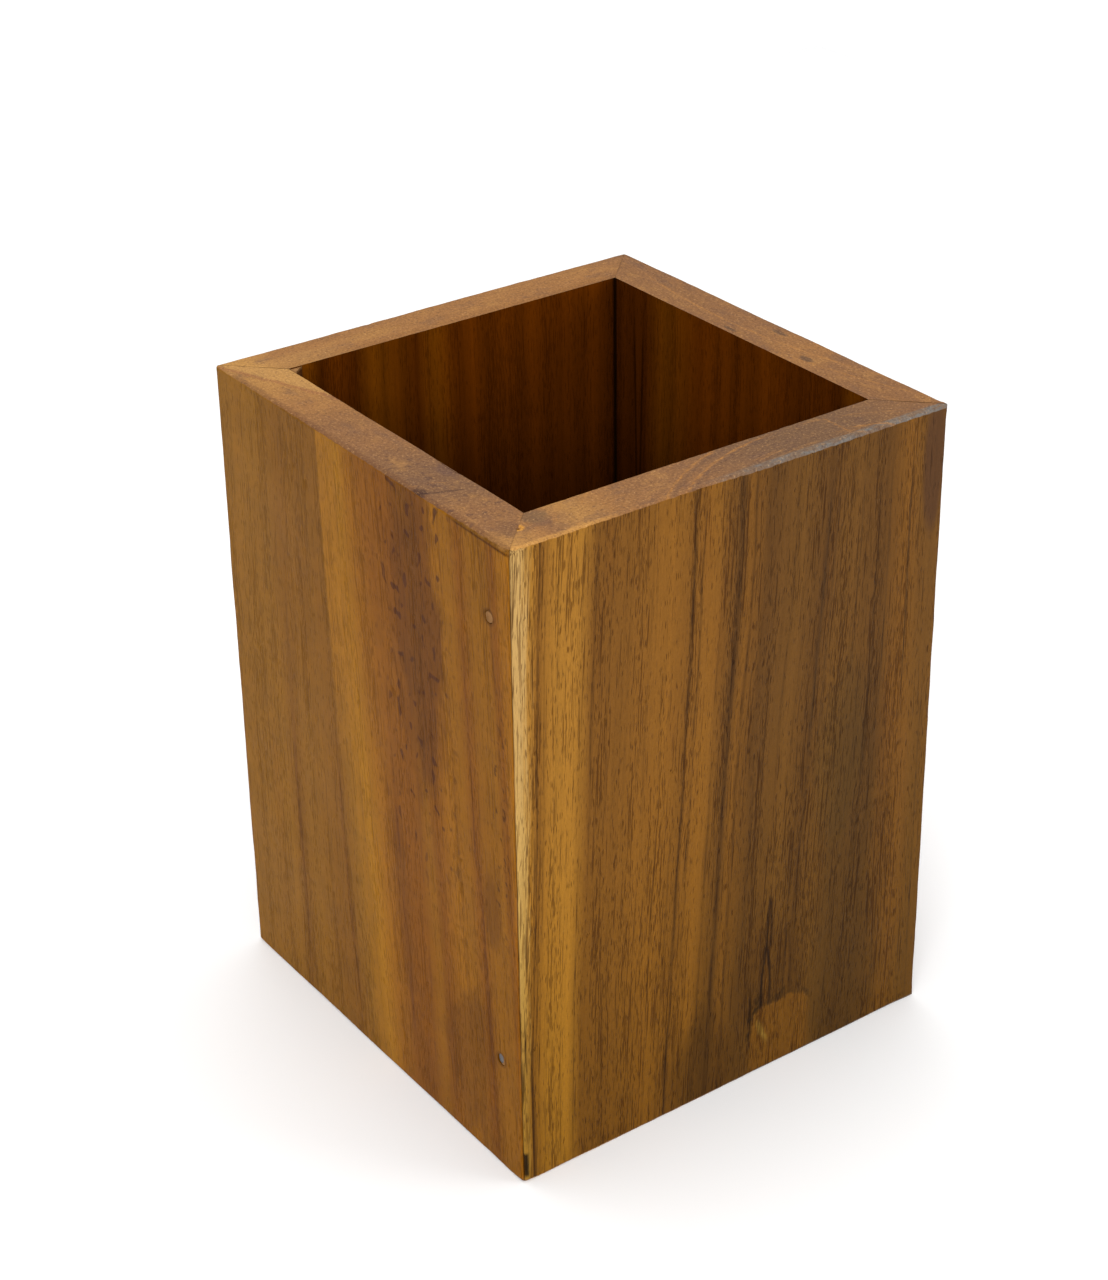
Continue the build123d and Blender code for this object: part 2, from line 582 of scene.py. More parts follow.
RIM_TONES = {
    "cream": (196, 148, 88),
    "sand": (183, 136, 83),
    "clay": (167, 120, 77),
    "dust": (151, 109, 76),
    "ash": (137, 102, 77),
    "slate": (127, 97, 76),
}


def toned(tones, bands):
    """The colour at the middle or the end of each band, from {mm from the middle: tone}."""
    return {place: tones[tone] for place, tone in bands.items()}


FRONT_FACE = toned(FACE_TONES, {
    -45: "straw", -42.5: "honey", -41.3: "tan", -38: "honey", -34: "honey", -31: "brown",
    -25: "brown", -16: "tan", -11.5: "brown", -7.5: "tan", -2: "dark", -0.5: "brown",
    4: "dark", 10.5: "umber", 16: "dark", 20.5: "umber", 31: "dark", 37: "brown", 41: "umber",
    45: "umber",
})

LEFT_FACE = toned(FACE_TONES, {
    -45: "olive", -28: "olive", -25: "drab", -21: "olive", -10.5: "drab", -7: "olive",
    -1: "honey", 3: "amber", 8.5: "russet", 15: "russet", 19: "tan", 22: "russet",
    26.5: "amber", 31: "tan", 34: "russet", 37: "tan", 41: "tan", 43.5: "russet", 45: "amber",
})

RIGHT_FACE = {
    -45.0: (112, 78, 46),
    -37.0: (124, 84, 46),
    -31.0: (106, 70, 36),
    -24.0: (118, 79, 40),
    -19.0: (99, 64, 33),
    -12.0: (126, 86, 44),
    -4.0: (137, 94, 47),
    3.0: (120, 80, 40),
    8.0: (103, 68, 35),
    15.0: (129, 88, 45),
    24.0: (140, 96, 48),
    31.0: (122, 82, 42),
    38.0: (133, 91, 46),
    45.0: (126, 86, 45),
}

BACK_FACE = {
    -45.0: (128, 88, 47),
    -38.0: (136, 94, 48),
    -30.0: (148, 103, 52),
    -24.0: (131, 88, 43),
    -17.0: (118, 77, 38),
    -9.0: (134, 91, 45),
    0.0: (143, 98, 48),
    7.0: (126, 84, 42),
    14.0: (114, 75, 38),
    21.0: (129, 87, 43),
    30.0: (151, 106, 54),
    37.0: (163, 116, 62),
    45.0: (176, 130, 72),
}

# Colours of the end grain along the rim.
FRONT_RIM = toned(RIM_TONES, {
    -45: "cream", -41: "sand", -37: "clay", -35: "dust", -30: "sand", -23: "clay", -14: "dust", -6: "dust",
    2: "ash", 12: "slate", 26: "slate", 45: "dust",
})

LEFT_RIM = toned(RIM_TONES, {
    -45: "sand", -34: "sand", -22: "clay", -12: "dust", -2: "dust", 10: "ash", 20: "ash",
    28: "dust", 36: "dust", 42: "sand", 45: "sand",
})

RIGHT_RIM = toned(RIM_TONES, {-45: "dust", -22: "dust", -12: "clay", -2: "dust", 45: "dust"})

BACK_RIM = toned(RIM_TONES, {-45: "dust", -32: "clay", 34: "clay", 40: "cream", 45: "cream"})


def front_lean(wood):
    """The front board's grain leans to the right going up, most in the middle of the face."""
    x = wood.along
    return x.steps(-46, -12) * 0.028 + 0.03 - x.steps(22, 40) * 0.058


def left_lean(wood):
    """The left board's grain leans a little, the other way near the front."""
    x = wood.along
    return x.steps(-20, -2) * -0.075 + x.steps(4, 20) * 0.03 + x.steps(20, 34) * -0.01


def front_face(wood):
    colour = wood.ramp(wood.across, -45, 45, FRONT_FACE)
    dark = (62, 38, 18)
    grey = (62, 44, 32)
    whole = {-11.4: (0.55, 0.9), -9.6: (0.3, 0.7), -2.2: (0.75, 1.0)}
    whole |= {0.7: (0.45, 0.8), 16.2: (0.7, 0.5)}
    whole |= {-42.3: (0.2, 0.5), -41.3: (0.35, 1.0), -40.6: (0.2, 0.6), -39.9: (0.2, 0.5)}
    colour = wood.lines(colour, -10, 140, dark, whole)
    upper = {
        -37.6: (0.25, 0.3),
        -30.7: (0.35, 0.6),
        -27.6: (0.22, 0.35),
        -24.0: (0.22, 0.3),
        -19.8: (0.25, 0.3),
        -5.4: (0.3, 0.4),
        3.4: (0.6, 0.4),
        9.3: (0.4, 0.4),
        12.4: (0.3, 0.4),
    }
    colour = wood.lines(colour, 58, 120, dark, upper)
    lower = {
        -35.4: (0.22, 0.3),
        -32.6: (0.3, 0.5),
        -16.6: (0.35, 0.45),
        -13.4: (0.3, 0.4),
        -5.2: (0.5, 0.6),
        4.4: (0.4, 0.45),
        14.6: (0.35, 0.4),
    }
    colour = wood.lines(colour, -10, 60, dark, lower)
    shadows = {16.4: (0.7, 0.6), 18.4: (0.4, 0.4), 24.6: (0.3, 0.4)}
    shadows |= {29.4: (0.5, 0.35), 32.2: (0.35, 0.5), 37.6: (0.4, 0.85)}
    colour = wood.lines(colour, 66, 112, grey, shadows, 0.15)
    colour = wood.lines(colour, 0, 60, grey, {34.6: (0.35, 0.4), 42.6: (0.35, 0.5)})
    colour = wood.patch(colour, (29, 30), (9, 48), (80, 55, 33), 0.5)
    colour = wood.patch(colour, (24, 62), (6, 20), (78, 58, 36), 0.35)
    colour = wood.patch(colour, (37, 40), (4.5, 36), (118, 78, 40), 0.45)
    colour = wood.patch(colour, (42.5, 112), (2.6, 14), (78, 52, 44), 0.7)
    colour = wood.patch(colour, (-3.5, 5), (7, 16), (78, 50, 22), 0.6)
    return knot_patch(wood, sapwood(wood, colour))


def sapwood(wood, colour):
    """The pale edge at the front corner, wider towards the top, with dark ticks and cracks."""
    edge = wood.z.steps(0, HEIGHT) * 1.7 - 43.7
    ragged = wood.noise(wood.grain, (1.3, 1.3, 0.06), 71, 2, 0.7) * 1.1
    pale = (wood.along - edge + ragged).steps(1.2, -1.2)
    straw = wood.mix(wood.z.steps(18, 60), tint(170, 134, 90), tint(196, 162, 122))
    colour = wood.mix(pale * 0.8, colour, straw)
    ticks = wood.noise(wood.grain, (3.0, 3.0, 0.12), 72, 1).steps(0.2, 0.6)
    ticks *= wood.along.steps(-38.0, -41.5)
    colour = wood.mix(ticks * 0.6, colour, tint(98, 62, 26))
    crack = wood.noise(wood.spot, (1.2, 1.2, 0.03), 73, 1).steps(0.42, 0.6)
    crack *= wood.z.steps(62, 30) * wood.along.steps(-41.8, -42.8)
    colour = wood.mix(crack * 0.85, colour, tint(60, 34, 12))

    # The mitre's open end, a slot just above the foot, painted near-black: painted shade in the gap.
    slot_shade = (wood.along + 43.9 + ragged * 0.3).steps(0.25, -0.25) * wood.z.span(*MITRE_SLOT, 0.5)
    return wood.mix(slot_shade * 0.95, colour, tint(24, 14, 6))


def knot_patch(wood, colour):
    """Where the face cuts into a knot's side: a smooth tan patch at the foot, with flames above it."""
    x, z = wood.along, wood.z
    rough = wood.noise(wood.spot, (0.5, 0.5, 0.5), 74, 2)
    fine = wood.noise(wood.spot, (1.6, 1.6, 0.8), 75, 1)
    flank = ((x - 11.6) * (1 / 7.4)) ** 4
    top = flank * -4.0 + rough * 1.3 + fine * 0.5 + 14.2
    inside = (x + rough * 0.6).span(4.9, 18.4, 1.1) * (z - top).steps(0.9, -0.9)
    tan = wood.mix(fine.steps(-0.8, 0.8), tint(116, 75, 30), tint(126, 84, 36))
    colour = wood.patch(colour, (11, 20), (9, 12), (88, 57, 26), 0.55)
    colour = wood.mix(inside * 0.92, colour, tan)
    slash = (x - 7.4 + (z - 9) * 0.4 + rough * 0.5).line(1.0) * z.span(6.4, 10.8, 1.8)
    colour = wood.mix(slash * 0.55, colour, tint(176, 144, 96))
    rim = (z - top - 0.5).line(1.1) * x.span(4.4, 18.8, 0.8)
    rim = rim.max((x - 4.7 + rough * 0.6).line(0.8) * z.span(7, 18, 3))
    rim = rim.max((x - 6.6 + rough).line(1.1) * z.span(14.4, 17.6, 1))
    rim_strength = (rough * 0.5 + 0.75 - x.steps(8, 14) * 0.35).max(0.1)
    colour = wood.mix(rim * rim_strength, colour, tint(50, 33, 16))
    colour = wood.mix(((x - 8) * 0.7).line(1) * z.span(14, 18, 1) * 0.5, colour, tint(52, 30, 14))

    # Flames: two lines that close over each other like a candle's outline.
    flames = ((8.3, 14, 27, 1.0, 0.9), (8.9, 26, 37, 0.55, 0.8), (13.2, 15, 29, 0.8, 0.35))
    for middle, foot, tip, wide, strength in flames:
        rise = (z - foot) * (1 / (tip - foot))
        wall = (1 - rise * rise * rise).max(0) * wide
        offset = abs(x - middle + rough * 0.15) - wall
        amount = offset.line(0.5) * z.span(foot, tip, 1.4)
        colour = wood.mix(amount * strength, colour, tint(50, 30, 18))
        glow = (offset + 0.3).steps(0, -0.5) * z.span(foot, tip, 2)
        colour = wood.mix(glow * strength * 0.6, colour, tint(122, 80, 32))
    return colour


def left_face(wood):
    x, z = wood.along, wood.z
    colour = wood.ramp(wood.across, -45, 45, LEFT_FACE)

    # Above the middle a darker panel with a sharp edge lies beside a golden band.
    high = z.steps(52, 88)
    boundary = wood.across + 9.6
    panel = boundary.steps(0.4, -0.8) * wood.across.steps(-32, -26) * high
    colour = wood.mix(panel * 0.75, colour, tint(127, 86, 49))
    golden = boundary.steps(-0.6, 0.6) * (boundary - 7.5).steps(2, -2) * high
    colour = wood.mix(golden * 0.8, colour, tint(157, 108, 57))
    after = (boundary - 7).steps(0, 6) * (boundary - 22).steps(2, -2) * high
    colour = wood.mix(after * 0.5, colour, tint(137, 88, 43))

    purple = (84, 46, 42)
    brown = (96, 58, 27)
    colour = wood.patch(colour, (20, 96), (8.0, 33), (104, 63, 32), 0.9, 0.55)
    colour = wood.patch(colour, (28, 18), (7.5, 18), (106, 66, 30), 0.6, 0.9)
    colour = wood.patch(colour, (37.5, 52), (2.5, 8), (108, 68, 30), 0.7)
    colour = wood.patch(colour, (8.5, 38), (2.2, 22), (116, 72, 36), 0.5)
    whole = {-3.0: (0.35, 0.35), 20.4: (0.4, 0.35), 28.2: (0.5, 0.4), 37.0: (0.3, 0.3)}
    whole |= {40.2: (0.35, 0.45), 42.4: (0.4, 0.5)}
    colour = wood.lines(colour, -10, 140, brown, whole)
    dashes = {0.4: (0.35, 0.4), 16.6: (0.5, 0.5), 26.6: (0.4, 0.7), 33.6: (0.45, 1.0)}
    colour = wood.lines(colour, 56, 114, purple, dashes, 0.6)
    colour = wood.lines(colour, 62, 100, (98, 66, 46), {-25.4: (0.7, 0.5)})
    foot = {-25.2: (0.8, 0.65), -10.2: (0.8, 0.6), 8.6: (0.7, 0.75)}
    foot |= {16.0: (0.5, 0.5), 34.6: (0.6, 0.9)}
    colour = wood.lines(colour, 10, 60, purple, foot, 0.4)
    # Purple specks in the dark part, and slanted dark flecks near the front edge.
    specks = wood.noise(wood.spot, (0.62, 0.62, 0.42), 81, 0).steps(0.52, 0.78)
    specks *= x.span(7, 28, 4) * z.steps(34, 66)
    colour = wood.mix(specks * 0.75, colour, tint(72, 38, 42))
    slanted = wood.place(x, z * 1.6 + x * 0.9, 0.0)
    flecks = wood.noise(slanted, (0.8, 0.42, 1), 82, 1).steps(0.28, 0.6)
    flecks *= x.span(39.0, 43.2, 1) * z.span(48, 92, 8)
    colour = wood.mix(flecks * 0.75, colour, tint(76, 44, 22))
    edge = x.steps(43.3, 44.4)
    colour = wood.mix(edge * 0.2, colour, tint(158, 100, 40))
    # The front mitre's open slot above the foot, painted near-black: painted shade in the gap.
    ragged = wood.noise(wood.spot, (0.8, 0.8, 0.6), 87) * 0.2
    slot_shade = (x - 44.5 + ragged).steps(-0.2, 0.2) * z.span(*MITRE_SLOT, 0.5)
    colour = wood.mix(slot_shade * 0.95, colour, tint(26, 14, 6))
    # Painted shade: a dark line just under the rim near the front corner stands for the shade in a groove.
    groove_shade = (z - 121.1 + (x - 37) * 0.02).line(0.42) * x.span(29.5, 45, 1.5)
    colour = wood.mix(groove_shade * 0.8, colour, tint(72, 38, 10))
    lip = z.steps(121.1, 121.4) * x.span(29.5, 45, 1.5)
    colour = wood.mix(lip * 0.7, colour, tint(112, 78, 58))
    for height in (LOWER_BRAD, UPPER_BRAD):
        ring = wood.place(x - BRAD_ALONG, z - height, 0.0).length()
        stain = (ring - 1.25).line(0.55)
        colour = wood.mix(stain * 0.5, colour, tint(74, 42, 22))
    return colour


def right_face(wood):
    colour = wood.ramp(wood.across, -45, 45, RIGHT_FACE)
    dark = (64, 40, 22)
    whole = {-31.0: (0.6, 0.5), -19.4: (0.6, 0.6), 8.2: (0.6, 0.5), 31.4: (0.5, 0.4)}
    colour = wood.lines(colour, -10, 140, dark, whole)
    part = {-17.6: (0.35, 0.5), 5.6: (0.35, 0.45), 22.0: (0.3, 0.4)}
    colour = wood.lines(colour, 20, 90, dark, part)
    colour = wood.patch(colour, (-6, 96), (9, 24), (152, 106, 54), 0.5)
    return wood.patch(colour, (18, 20), (8, 22), (98, 64, 34), 0.5)


def back_face(wood):
    colour = wood.ramp(wood.across, -45, 45, BACK_FACE)
    dark = (74, 46, 24)
    whole = {-24.2: (0.5, 0.45), -17.0: (0.7, 0.5), 12.6: (0.6, 0.5), 27.0: (0.4, 0.35)}
    colour = wood.lines(colour, -10, 140, dark, whole)
    part = {-14.8: (0.35, 0.4), 3.0: (0.3, 0.35), 15.4: (0.35, 0.45)}
    colour = wood.lines(colour, 30, 110, dark, part)
    colour = wood.patch(colour, (2, 34), (10, 26), (150, 104, 52), 0.5)
    return wood.patch(colour, (-8, 100), (6, 18), (112, 72, 36), 0.5)


# Where the growth rings of two boards are centred: along the board, and deep.
FRONT_PITH = (15, -34)
RIGHT_PITH = (8, -123)


def rings_from(along, deep):
    """Growth rings round a pith that lies this far along the board and this deep."""
    def distance(wood):
        return wood.place(wood.along - along, wood.deep - deep, 0.0).length()

    return distance


def slanting_rings(wood):
    """Rings that cross the left board steeply: nearly straight lines over the rim."""
    return wood.along - wood.deep * 0.44


FACES = {
    "front": (front_face, front_lean, FRONT_RIM, rings_from(*FRONT_PITH), 101),
    "right": (right_face, None, RIGHT_RIM, rings_from(*RIGHT_PITH), 131),
    "back": (back_face, None, BACK_RIM, rings_from(-4, -96), 161),
    "left": (left_face, left_lean, LEFT_RIM, slanting_rings, 191),
}


def rim_colour(wood, side):
    """The end grain: growth rings and the pale dusty look of sanded ends; the vessels' dots are added by
    gritty.
    """
    _, _, stops, rings, seed = FACES[side]
    ring = rings(wood)
    place = wood.place(wood.along, wood.deep, 0.0)
    wave = wood.noise(place, (0.12, 0.25, 1), seed + 20, 1) * 1.6
    along = ring if side == "left" else wood.along + wave
    colour = wood.ramp(along, -45, 45, stops)
    bands = wood.noise(wood.place(ring + wave * 0.4, 0.0, 0.0), (0.75, 1, 1), seed + 21, 1)
    colour = wood.scaled(colour, bands * 0.07 + 1)
    thin = abs(wood.noise(wood.place(ring + wave * 0.3, 0.0, 0.0), (0.42, 1, 1), seed + 22))
    faded = wood.noise(place, (0.16, 0.3, 1), seed + 23).steps(-0.25, 0.5)
    colour = wood.mix(thin.steps(0.09, 0.0) * faded * 0.4, colour, tint(188, 134, 78))
    clouds = wood.noise(place, (0.2, 0.36, 1), seed + 24, 3, 0.55)
    colour = wood.mix(clouds.steps(0.0, 0.8) * 0.5, colour, tint(118, 90, 78))
    colour = wood.mix(clouds.steps(-0.1, -0.8) * 0.35, colour, tint(196, 146, 88))
    blots = wood.noise(place, (0.8, 1.0, 1), seed + 27, 2, 0.6)
    colour = wood.mix(blots.steps(0.2, 0.8) * 0.25, colour, tint(106, 80, 72))
    return wood.mix(blots.steps(-0.2, -0.8) * 0.25, colour, tint(196, 148, 96))


def gritty(wood, colour):
    """Open vessels and sawdust caught in the sanded end grain. Gives the dots of the vessels too."""
    place = wood.place(wood.along, wood.deep, 0.0)
    dots = wood.noise(place, (1.9, 1.9, 1), wood.seed + 25, 1)
    colour = wood.mix(dots.steps(0.4, 0.8) * 0.4, colour, tint(96, 66, 56))
    grit = wood.noise(place, (2.2, 2.2, 1), wood.seed + 26, 3, 0.75)
    colour = wood.scaled(colour, grit * 0.34 + 1)
    colour = wood.mix(grit.steps(-0.15, -0.7) * 0.5, colour, tint(104, 74, 72))
    return wood.mix(grit.steps(0.2, 0.7) * 0.55, colour, tint(214, 172, 122)), dots


def front_rim_marks(wood, colour):
    """The rim's front edge is worn grey to the right, partly wear and partly painted reflection, with a
    painted blue-grey reflection over it; a painted highlight lies along its edge to the left, and a
    pinhole pierces its left mitre.
    """
    x, deep = wood.along, wood.deep
    ragged = wood.noise(wood.spot, (0.5, 1.4, 1), 83, 2)
    # Painted reflection: the grey on the front edge is part wear and part a painted reflection, and the
    # blue-grey over it is a painted reflection of the white surround.
    worn_and_reflecting = (deep + ragged * 0.4).steps(1.5, 0.9) * x.steps(-12, 8)
    colour = wood.mix(worn_and_reflecting * 0.7, colour, tint(126, 112, 104))
    blue = worn_and_reflecting * (ragged + x.steps(-8, 20) * 0.4).steps(0.0, 0.9)
    colour = wood.mix(blue * 0.75, colour, tint(124, 126, 132))
    # Painted highlight: a pale golden band along the front edge towards the left corner.
    light = (deep + ragged * 0.3).steps(1.2, 0.5) * x.steps(-20, -34)
    colour = wood.mix(light * 0.6, colour, tint(214, 160, 92))
    arcs = rings_from(*FRONT_PITH)(wood)
    for radius, left, right in ((45.3, -16, 7), (42.7, -12, 12), (38.4, 26, 44), (36.4, 24, 27)):
        arc = (arcs - radius + ragged * 0.3).line(0.4) * x.span(left, right, 2.5)
        colour = wood.mix(arc * ragged.steps(-0.9, 0.5) * 0.7, colour, tint(190, 134, 74))
        shade = (arcs - radius + 0.9 + ragged * 0.4).line(0.7) * x.span(left, right, 2.5)
        colour = wood.mix(shade * 0.35, colour, tint(104, 80, 70))
    upright = (x - 24.6 + ragged * 0.35).line(0.4) * deep.span(1.4, 8, 1)
    colour = wood.mix(upright * ragged.steps(-0.8, 0.4) * 0.5, colour, tint(186, 130, 74))
    colour = wood.patch_flat(colour, (-35.0, 7.4), (2.6, 2.6), (116, 94, 76), 0.6)
    # Round the pinhole a bright ring; the dark inside of its pit is painted shade.
    halo = wood.place(x + 39.3, deep - 5.8, 0.0).length()
    colour = wood.mix((halo - 0.75).line(0.6) * 0.85, colour, tint(222, 158, 70))
    return wood.mix(halo.steps(0.5, 0.15) * 0.95, colour, tint(92, 44, 8))


def left_rim_marks(wood, colour):
    """Dark lines and purple dots over the left rim near the front."""
    x, deep = wood.along, wood.deep
    ragged = wood.noise(wood.spot, (0.6, 0.6, 1), 84, 2)
    slant = deep - (x + 45) * 0.4 + ragged * 0.5
    colour = wood.mix(slant.steps(-0.4, 0.6) * 0.6, colour, tint(204, 158, 100))
    colour = wood.mix((slant + 0.5).line(0.9) * 0.45, colour, tint(158, 104, 76))
    outer = (deep + ragged * 0.3).steps(1.6, 0.7) * x.steps(-42, -36)
    colour = wood.mix(outer * 0.45, colour, tint(118, 80, 56))
    line = (slanting_rings(wood) - 20.0 + ragged * 0.3).line(0.55) * deep.span(0, 6.5, 1)
    colour = wood.mix(line * 0.75, colour, tint(86, 62, 56))
    colour = wood.patch_flat(colour, (19.6, 0.4), (1.8, 1.6), (70, 50, 48), 0.7)
    dots = wood.noise(wood.spot, (0.9, 0.9, 1), 85, 0).steps(0.5, 0.8) * x.span(2, 40, 6)
    colour = wood.mix(dots * 0.5, colour, tint(98, 72, 66))
    colour = wood.patch_flat(colour, (15.5, 8.4), (3.2, 1.6), (110, 84, 78), 0.6)
    return wood.patch_flat(colour, (39.0, 4.6), (3.5, 2.4), (120, 88, 70), 0.5)


def right_rim_marks(wood, colour):
    """Two flat orange arcs and a few dark marks."""
    x, deep = wood.along, wood.deep
    ragged = wood.noise(wood.spot, (0.4, 0.9, 1), 86, 2)
    arcs = rings_from(*RIGHT_PITH)(wood)
    for radius, left, right in ((132.6, -42, -12), (129.2, -45, 30)):
        arc = (arcs - radius + ragged * 0.3).line(0.45) * x.span(left, right, 3)
        colour = wood.mix(arc * ragged.steps(-0.9, 0.6) * 0.6, colour, tint(190, 136, 78))
    for centre, size in (((-16, 6.4), (2.0, 0.9)), ((-4, 2.4), (2.4, 0.7)), ((3, 8.2), (2.2, 0.5))):
        colour = wood.patch_flat(colour, centre, size, (96, 76, 66), 0.7)
    return colour


def back_rim_marks(wood, colour):
    """A pale blot by the left mitre and a darker inner edge."""
    colour = wood.mix(wood.deep.steps(6.4, 8.6) * 0.35, colour, tint(146, 100, 58))
    pale = (wood.deep - 4.0).steps(-1.5, 1.5) * wood.along.steps(18, 32)
    colour = wood.mix(pale * 0.35, colour, tint(200, 154, 96))
    return wood.patch_flat(colour, (16, 5), (6, 2.2), (186, 138, 84), 0.5)


RIM_MARKS = {
    "front": front_rim_marks,
    "left": left_rim_marks,
    "right": right_rim_marks,
    "back": back_rim_marks,
}


def outside_teak(side, quarters):
    """A board's outer face, its rim and its foot, in one material."""
    face, lean, _, _, seed = FACES[side]
    wood = Teak(f"teak_{side}", quarters, seed, 0.04, lean)
    colour = face(wood)
    lower = wood.z.steps(70, -5)
    colour = wood.scaled(colour, 1 - lower * FOOT_SHADE[side])
    colour = wood.filtered(colour, FACE_FILTER[side])
    colour = wood.mix(wood.z.steps(105, 0) * 0.65, colour, (1.0, 0.96, 0.25), "MULTIPLY")
    if side == "left":
        colour, relief = wood.grained(colour, fibre=0.15, ripple=0.1, pore=0.34)
    else:
        colour, relief = wood.grained(colour, pore=0.6)

    ends, dots = gritty(wood, RIM_MARKS[side](wood, rim_colour(wood, side)))
    ends = wood.filtered(ends, RIM_FILTER)
    facet = wood.deep.steps(2.5, 1.5) * (wood.along.steps(-10, 8) * 0.42 if side == "front" else 0.0)
    ragged = wood.noise(wood.spot, (0.8, 0.8, 0.8), seed + 30, 1) * 0.09
    on_rim = (wood.z - (HEIGHT - 0.34) + facet + ragged).steps(-0.06, 0.06)
    at_foot = wood.z.steps(0.45, 0.3)
    colour = wood.mix(on_rim, colour, ends)
    # The foot takes the rim's end-grain colour darkened to 0.72, a shaded copy: painted shade.
    colour = wood.mix(at_foot, colour, wood.scaled(ends, 0.72))
    relief = relief * (1 - on_rim) - dots.steps(0.42, 0.75) * on_rim * 0.5

    # Sanded and handled arrises are paler, and dirt sits in places along them.
    worn = wood.attribute("eased") * (1 - on_rim)
    patchy = wood.noise(wood.spot, (0.5, 0.5, 0.18), seed + 31, 2)
    colour = wood.mix(worn * patchy.steps(-0.3, 0.7) * 0.3, colour, tint(176, 130, 84))
    colour = wood.mix(worn * patchy.steps(-0.2, -0.8) * 0.35, colour, tint(70, 44, 24))
    colour = wood.mitre(colour)

    gloss = wood.noise(wood.spot, (0.05, 0.05, 0.05), seed + 32, 2)
    roughness = gloss * 0.05 + relief * -0.12 + 0.44 + on_rim * 0.14 - worn * 0.06
    return wood.finish(colour, roughness, relief, 0.07)


# Colours of the well's walls along each board, just under the rim: far darker and redder than the outside
# teak, which is painted shade.
WELL_TONES = {
    "ember": (76, 35, 4),
    "rust": (94, 45, 5),
    "glow": (106, 57, 9),
}

INSIDE = {
    "front": {-36: (74, 34, 6), -10: (86, 42, 8), 12: (70, 32, 5), 36: (78, 36, 6)},
    "left": {-36: (72, 32, 6), -6: (84, 40, 8), 16: (68, 30, 5), 36: (80, 38, 7)},
    "back": toned(WELL_TONES, {
        -36: "ember", -30: "rust", 1: "rust", 5: "glow", 9: "ember", 18: "glow", 22: "ember",
        27: "rust", 29: "ember", 32: "glow", 36: "ember",
    }),
    "right": toned(WELL_TONES, {
        -36: "ember", -31: "glow", -28: "ember", -22: "rust", -18: "ember", -9: "rust",
        10: "rust", 20: "glow", 26: "ember", 36: "ember",
    }),
}


def inside_teak(side, quarters):
    """A board's face in the well: darker and redder with painted shade, more so deeper down and at its
    corners.
    """
    seed = FACES[side][-1]
    wood = Teak(f"teak_{side}_inside", quarters, seed + 50, 0.0)
    stops = INSIDE[side]
    colour = wood.ramp(wood.across, min(stops), max(stops), stops)
    bands = wood.noise(wood.grain, (0.28, 0.28, 0.004), seed + 60, 2, 0.6)
    # Painted shade: the walls grow darker deeper in the well, down to 0.42 of their colour at 50 mm.
    below = wood.z.steps(116, 50) * 0.58
    colour = wood.scaled(wood.filtered(colour, WELL_FILTER), (bands * 0.35 + 1) * (1 - below))
    colour, relief = wood.grained(colour, fibre=0.2, ripple=0.04, pore=0.35)
    if side == "right":
        for middle, fork in ((27.5, 0.03), (29.0, -0.02)):
            line = (wood.along - middle + (wood.z - 90) * fork).line(0.55) * wood.z.span(20, 114, 8)
            colour = wood.mix(line * 0.7, colour, tint(20, 6, 0))
    # Painted shade: a near-black band down the well's inner corners.
    corner = (WELL - abs(wood.along)).steps(0.8, 0.1)
    colour = wood.mix(corner * 0.9, colour, tint(14, 5, 1))
    roughness = wood.noise(wood.spot, (0.08, 0.08, 0.05), seed + 61, 2) * 0.05 + 0.6
    return wood.finish(colour, roughness, relief, 0.06)


def panel_teak():
    """The floor panel, with its grain running from front to back."""
    wood = Teak("teak_floor", 0, 221, 0.1)
    along_panel = wood.place(wood.x, wood.z, wood.y)
    bands = wood.noise(along_panel, (0.3, 0.3, 0.012), 222, 2, 0.6)
    browns = {-1: (70, 38, 12), -0.2: (104, 62, 24), 0.4: (122, 78, 32), 1: (138, 92, 42)}
    colour = wood.ramp(bands, -1, 1, browns)
    fibres = wood.noise(along_panel, (3.2, 3.2, 0.09), 223, 2, 0.6)
    pores = wood.noise(along_panel, (2.0, 2.0, 0.14), 224).steps(0.5, 0.85)
    colour = wood.scaled(colour, fibres * 0.12 + 1)
    colour = wood.mix(pores * 0.6, colour, tint(118, 88, 70), "MULTIPLY")
    dust = wood.noise(along_panel, (0.07, 0.07, 0.07), 225, 3).steps(0.0, 1.0)
    colour = wood.mix(dust * 0.25, colour, tint(120, 96, 70))
    return wood.finish(colour, dust * 0.12 + 0.55, fibres * 0.12 - pores, 0.06)


def filler_paint():
    """Wood filler: brown sawdust and glue, with darker crumbs."""
    paint = Paint("wood_filler", 0.05)
    spot = paint.place(paint.x, paint.y, paint.z)
    crumbs = paint.noise(spot, (2.4, 2.4, 2.4), 231, 3, 0.6)
    clouds = paint.noise(spot, (0.7, 0.7, 0.7), 232, 2)
    colour = paint.ramp(clouds, -1, 1, {-1: (100, 66, 34), 0: (128, 90, 52), 1: (150, 110, 68)})
    colour = paint.mix(crumbs.steps(0.2, 0.8) * 0.5, colour, tint(104, 66, 34))

    # The side of the corner filler that faces down into the well is as dark as the well: painted shade.
    in_mouth = abs(paint.x).steps(39, 37.5) * abs(paint.y).steps(39, 37.5)
    below = (paint.z + crumbs * 0.2).steps(HEIGHT - 0.3, HEIGHT - 0.9)
    colour = paint.mix(in_mouth * below * 0.93, colour, tint(66, 32, 5))
    return paint.finish(colour, crumbs * 0.06 + 0.7, crumbs, 0.05)


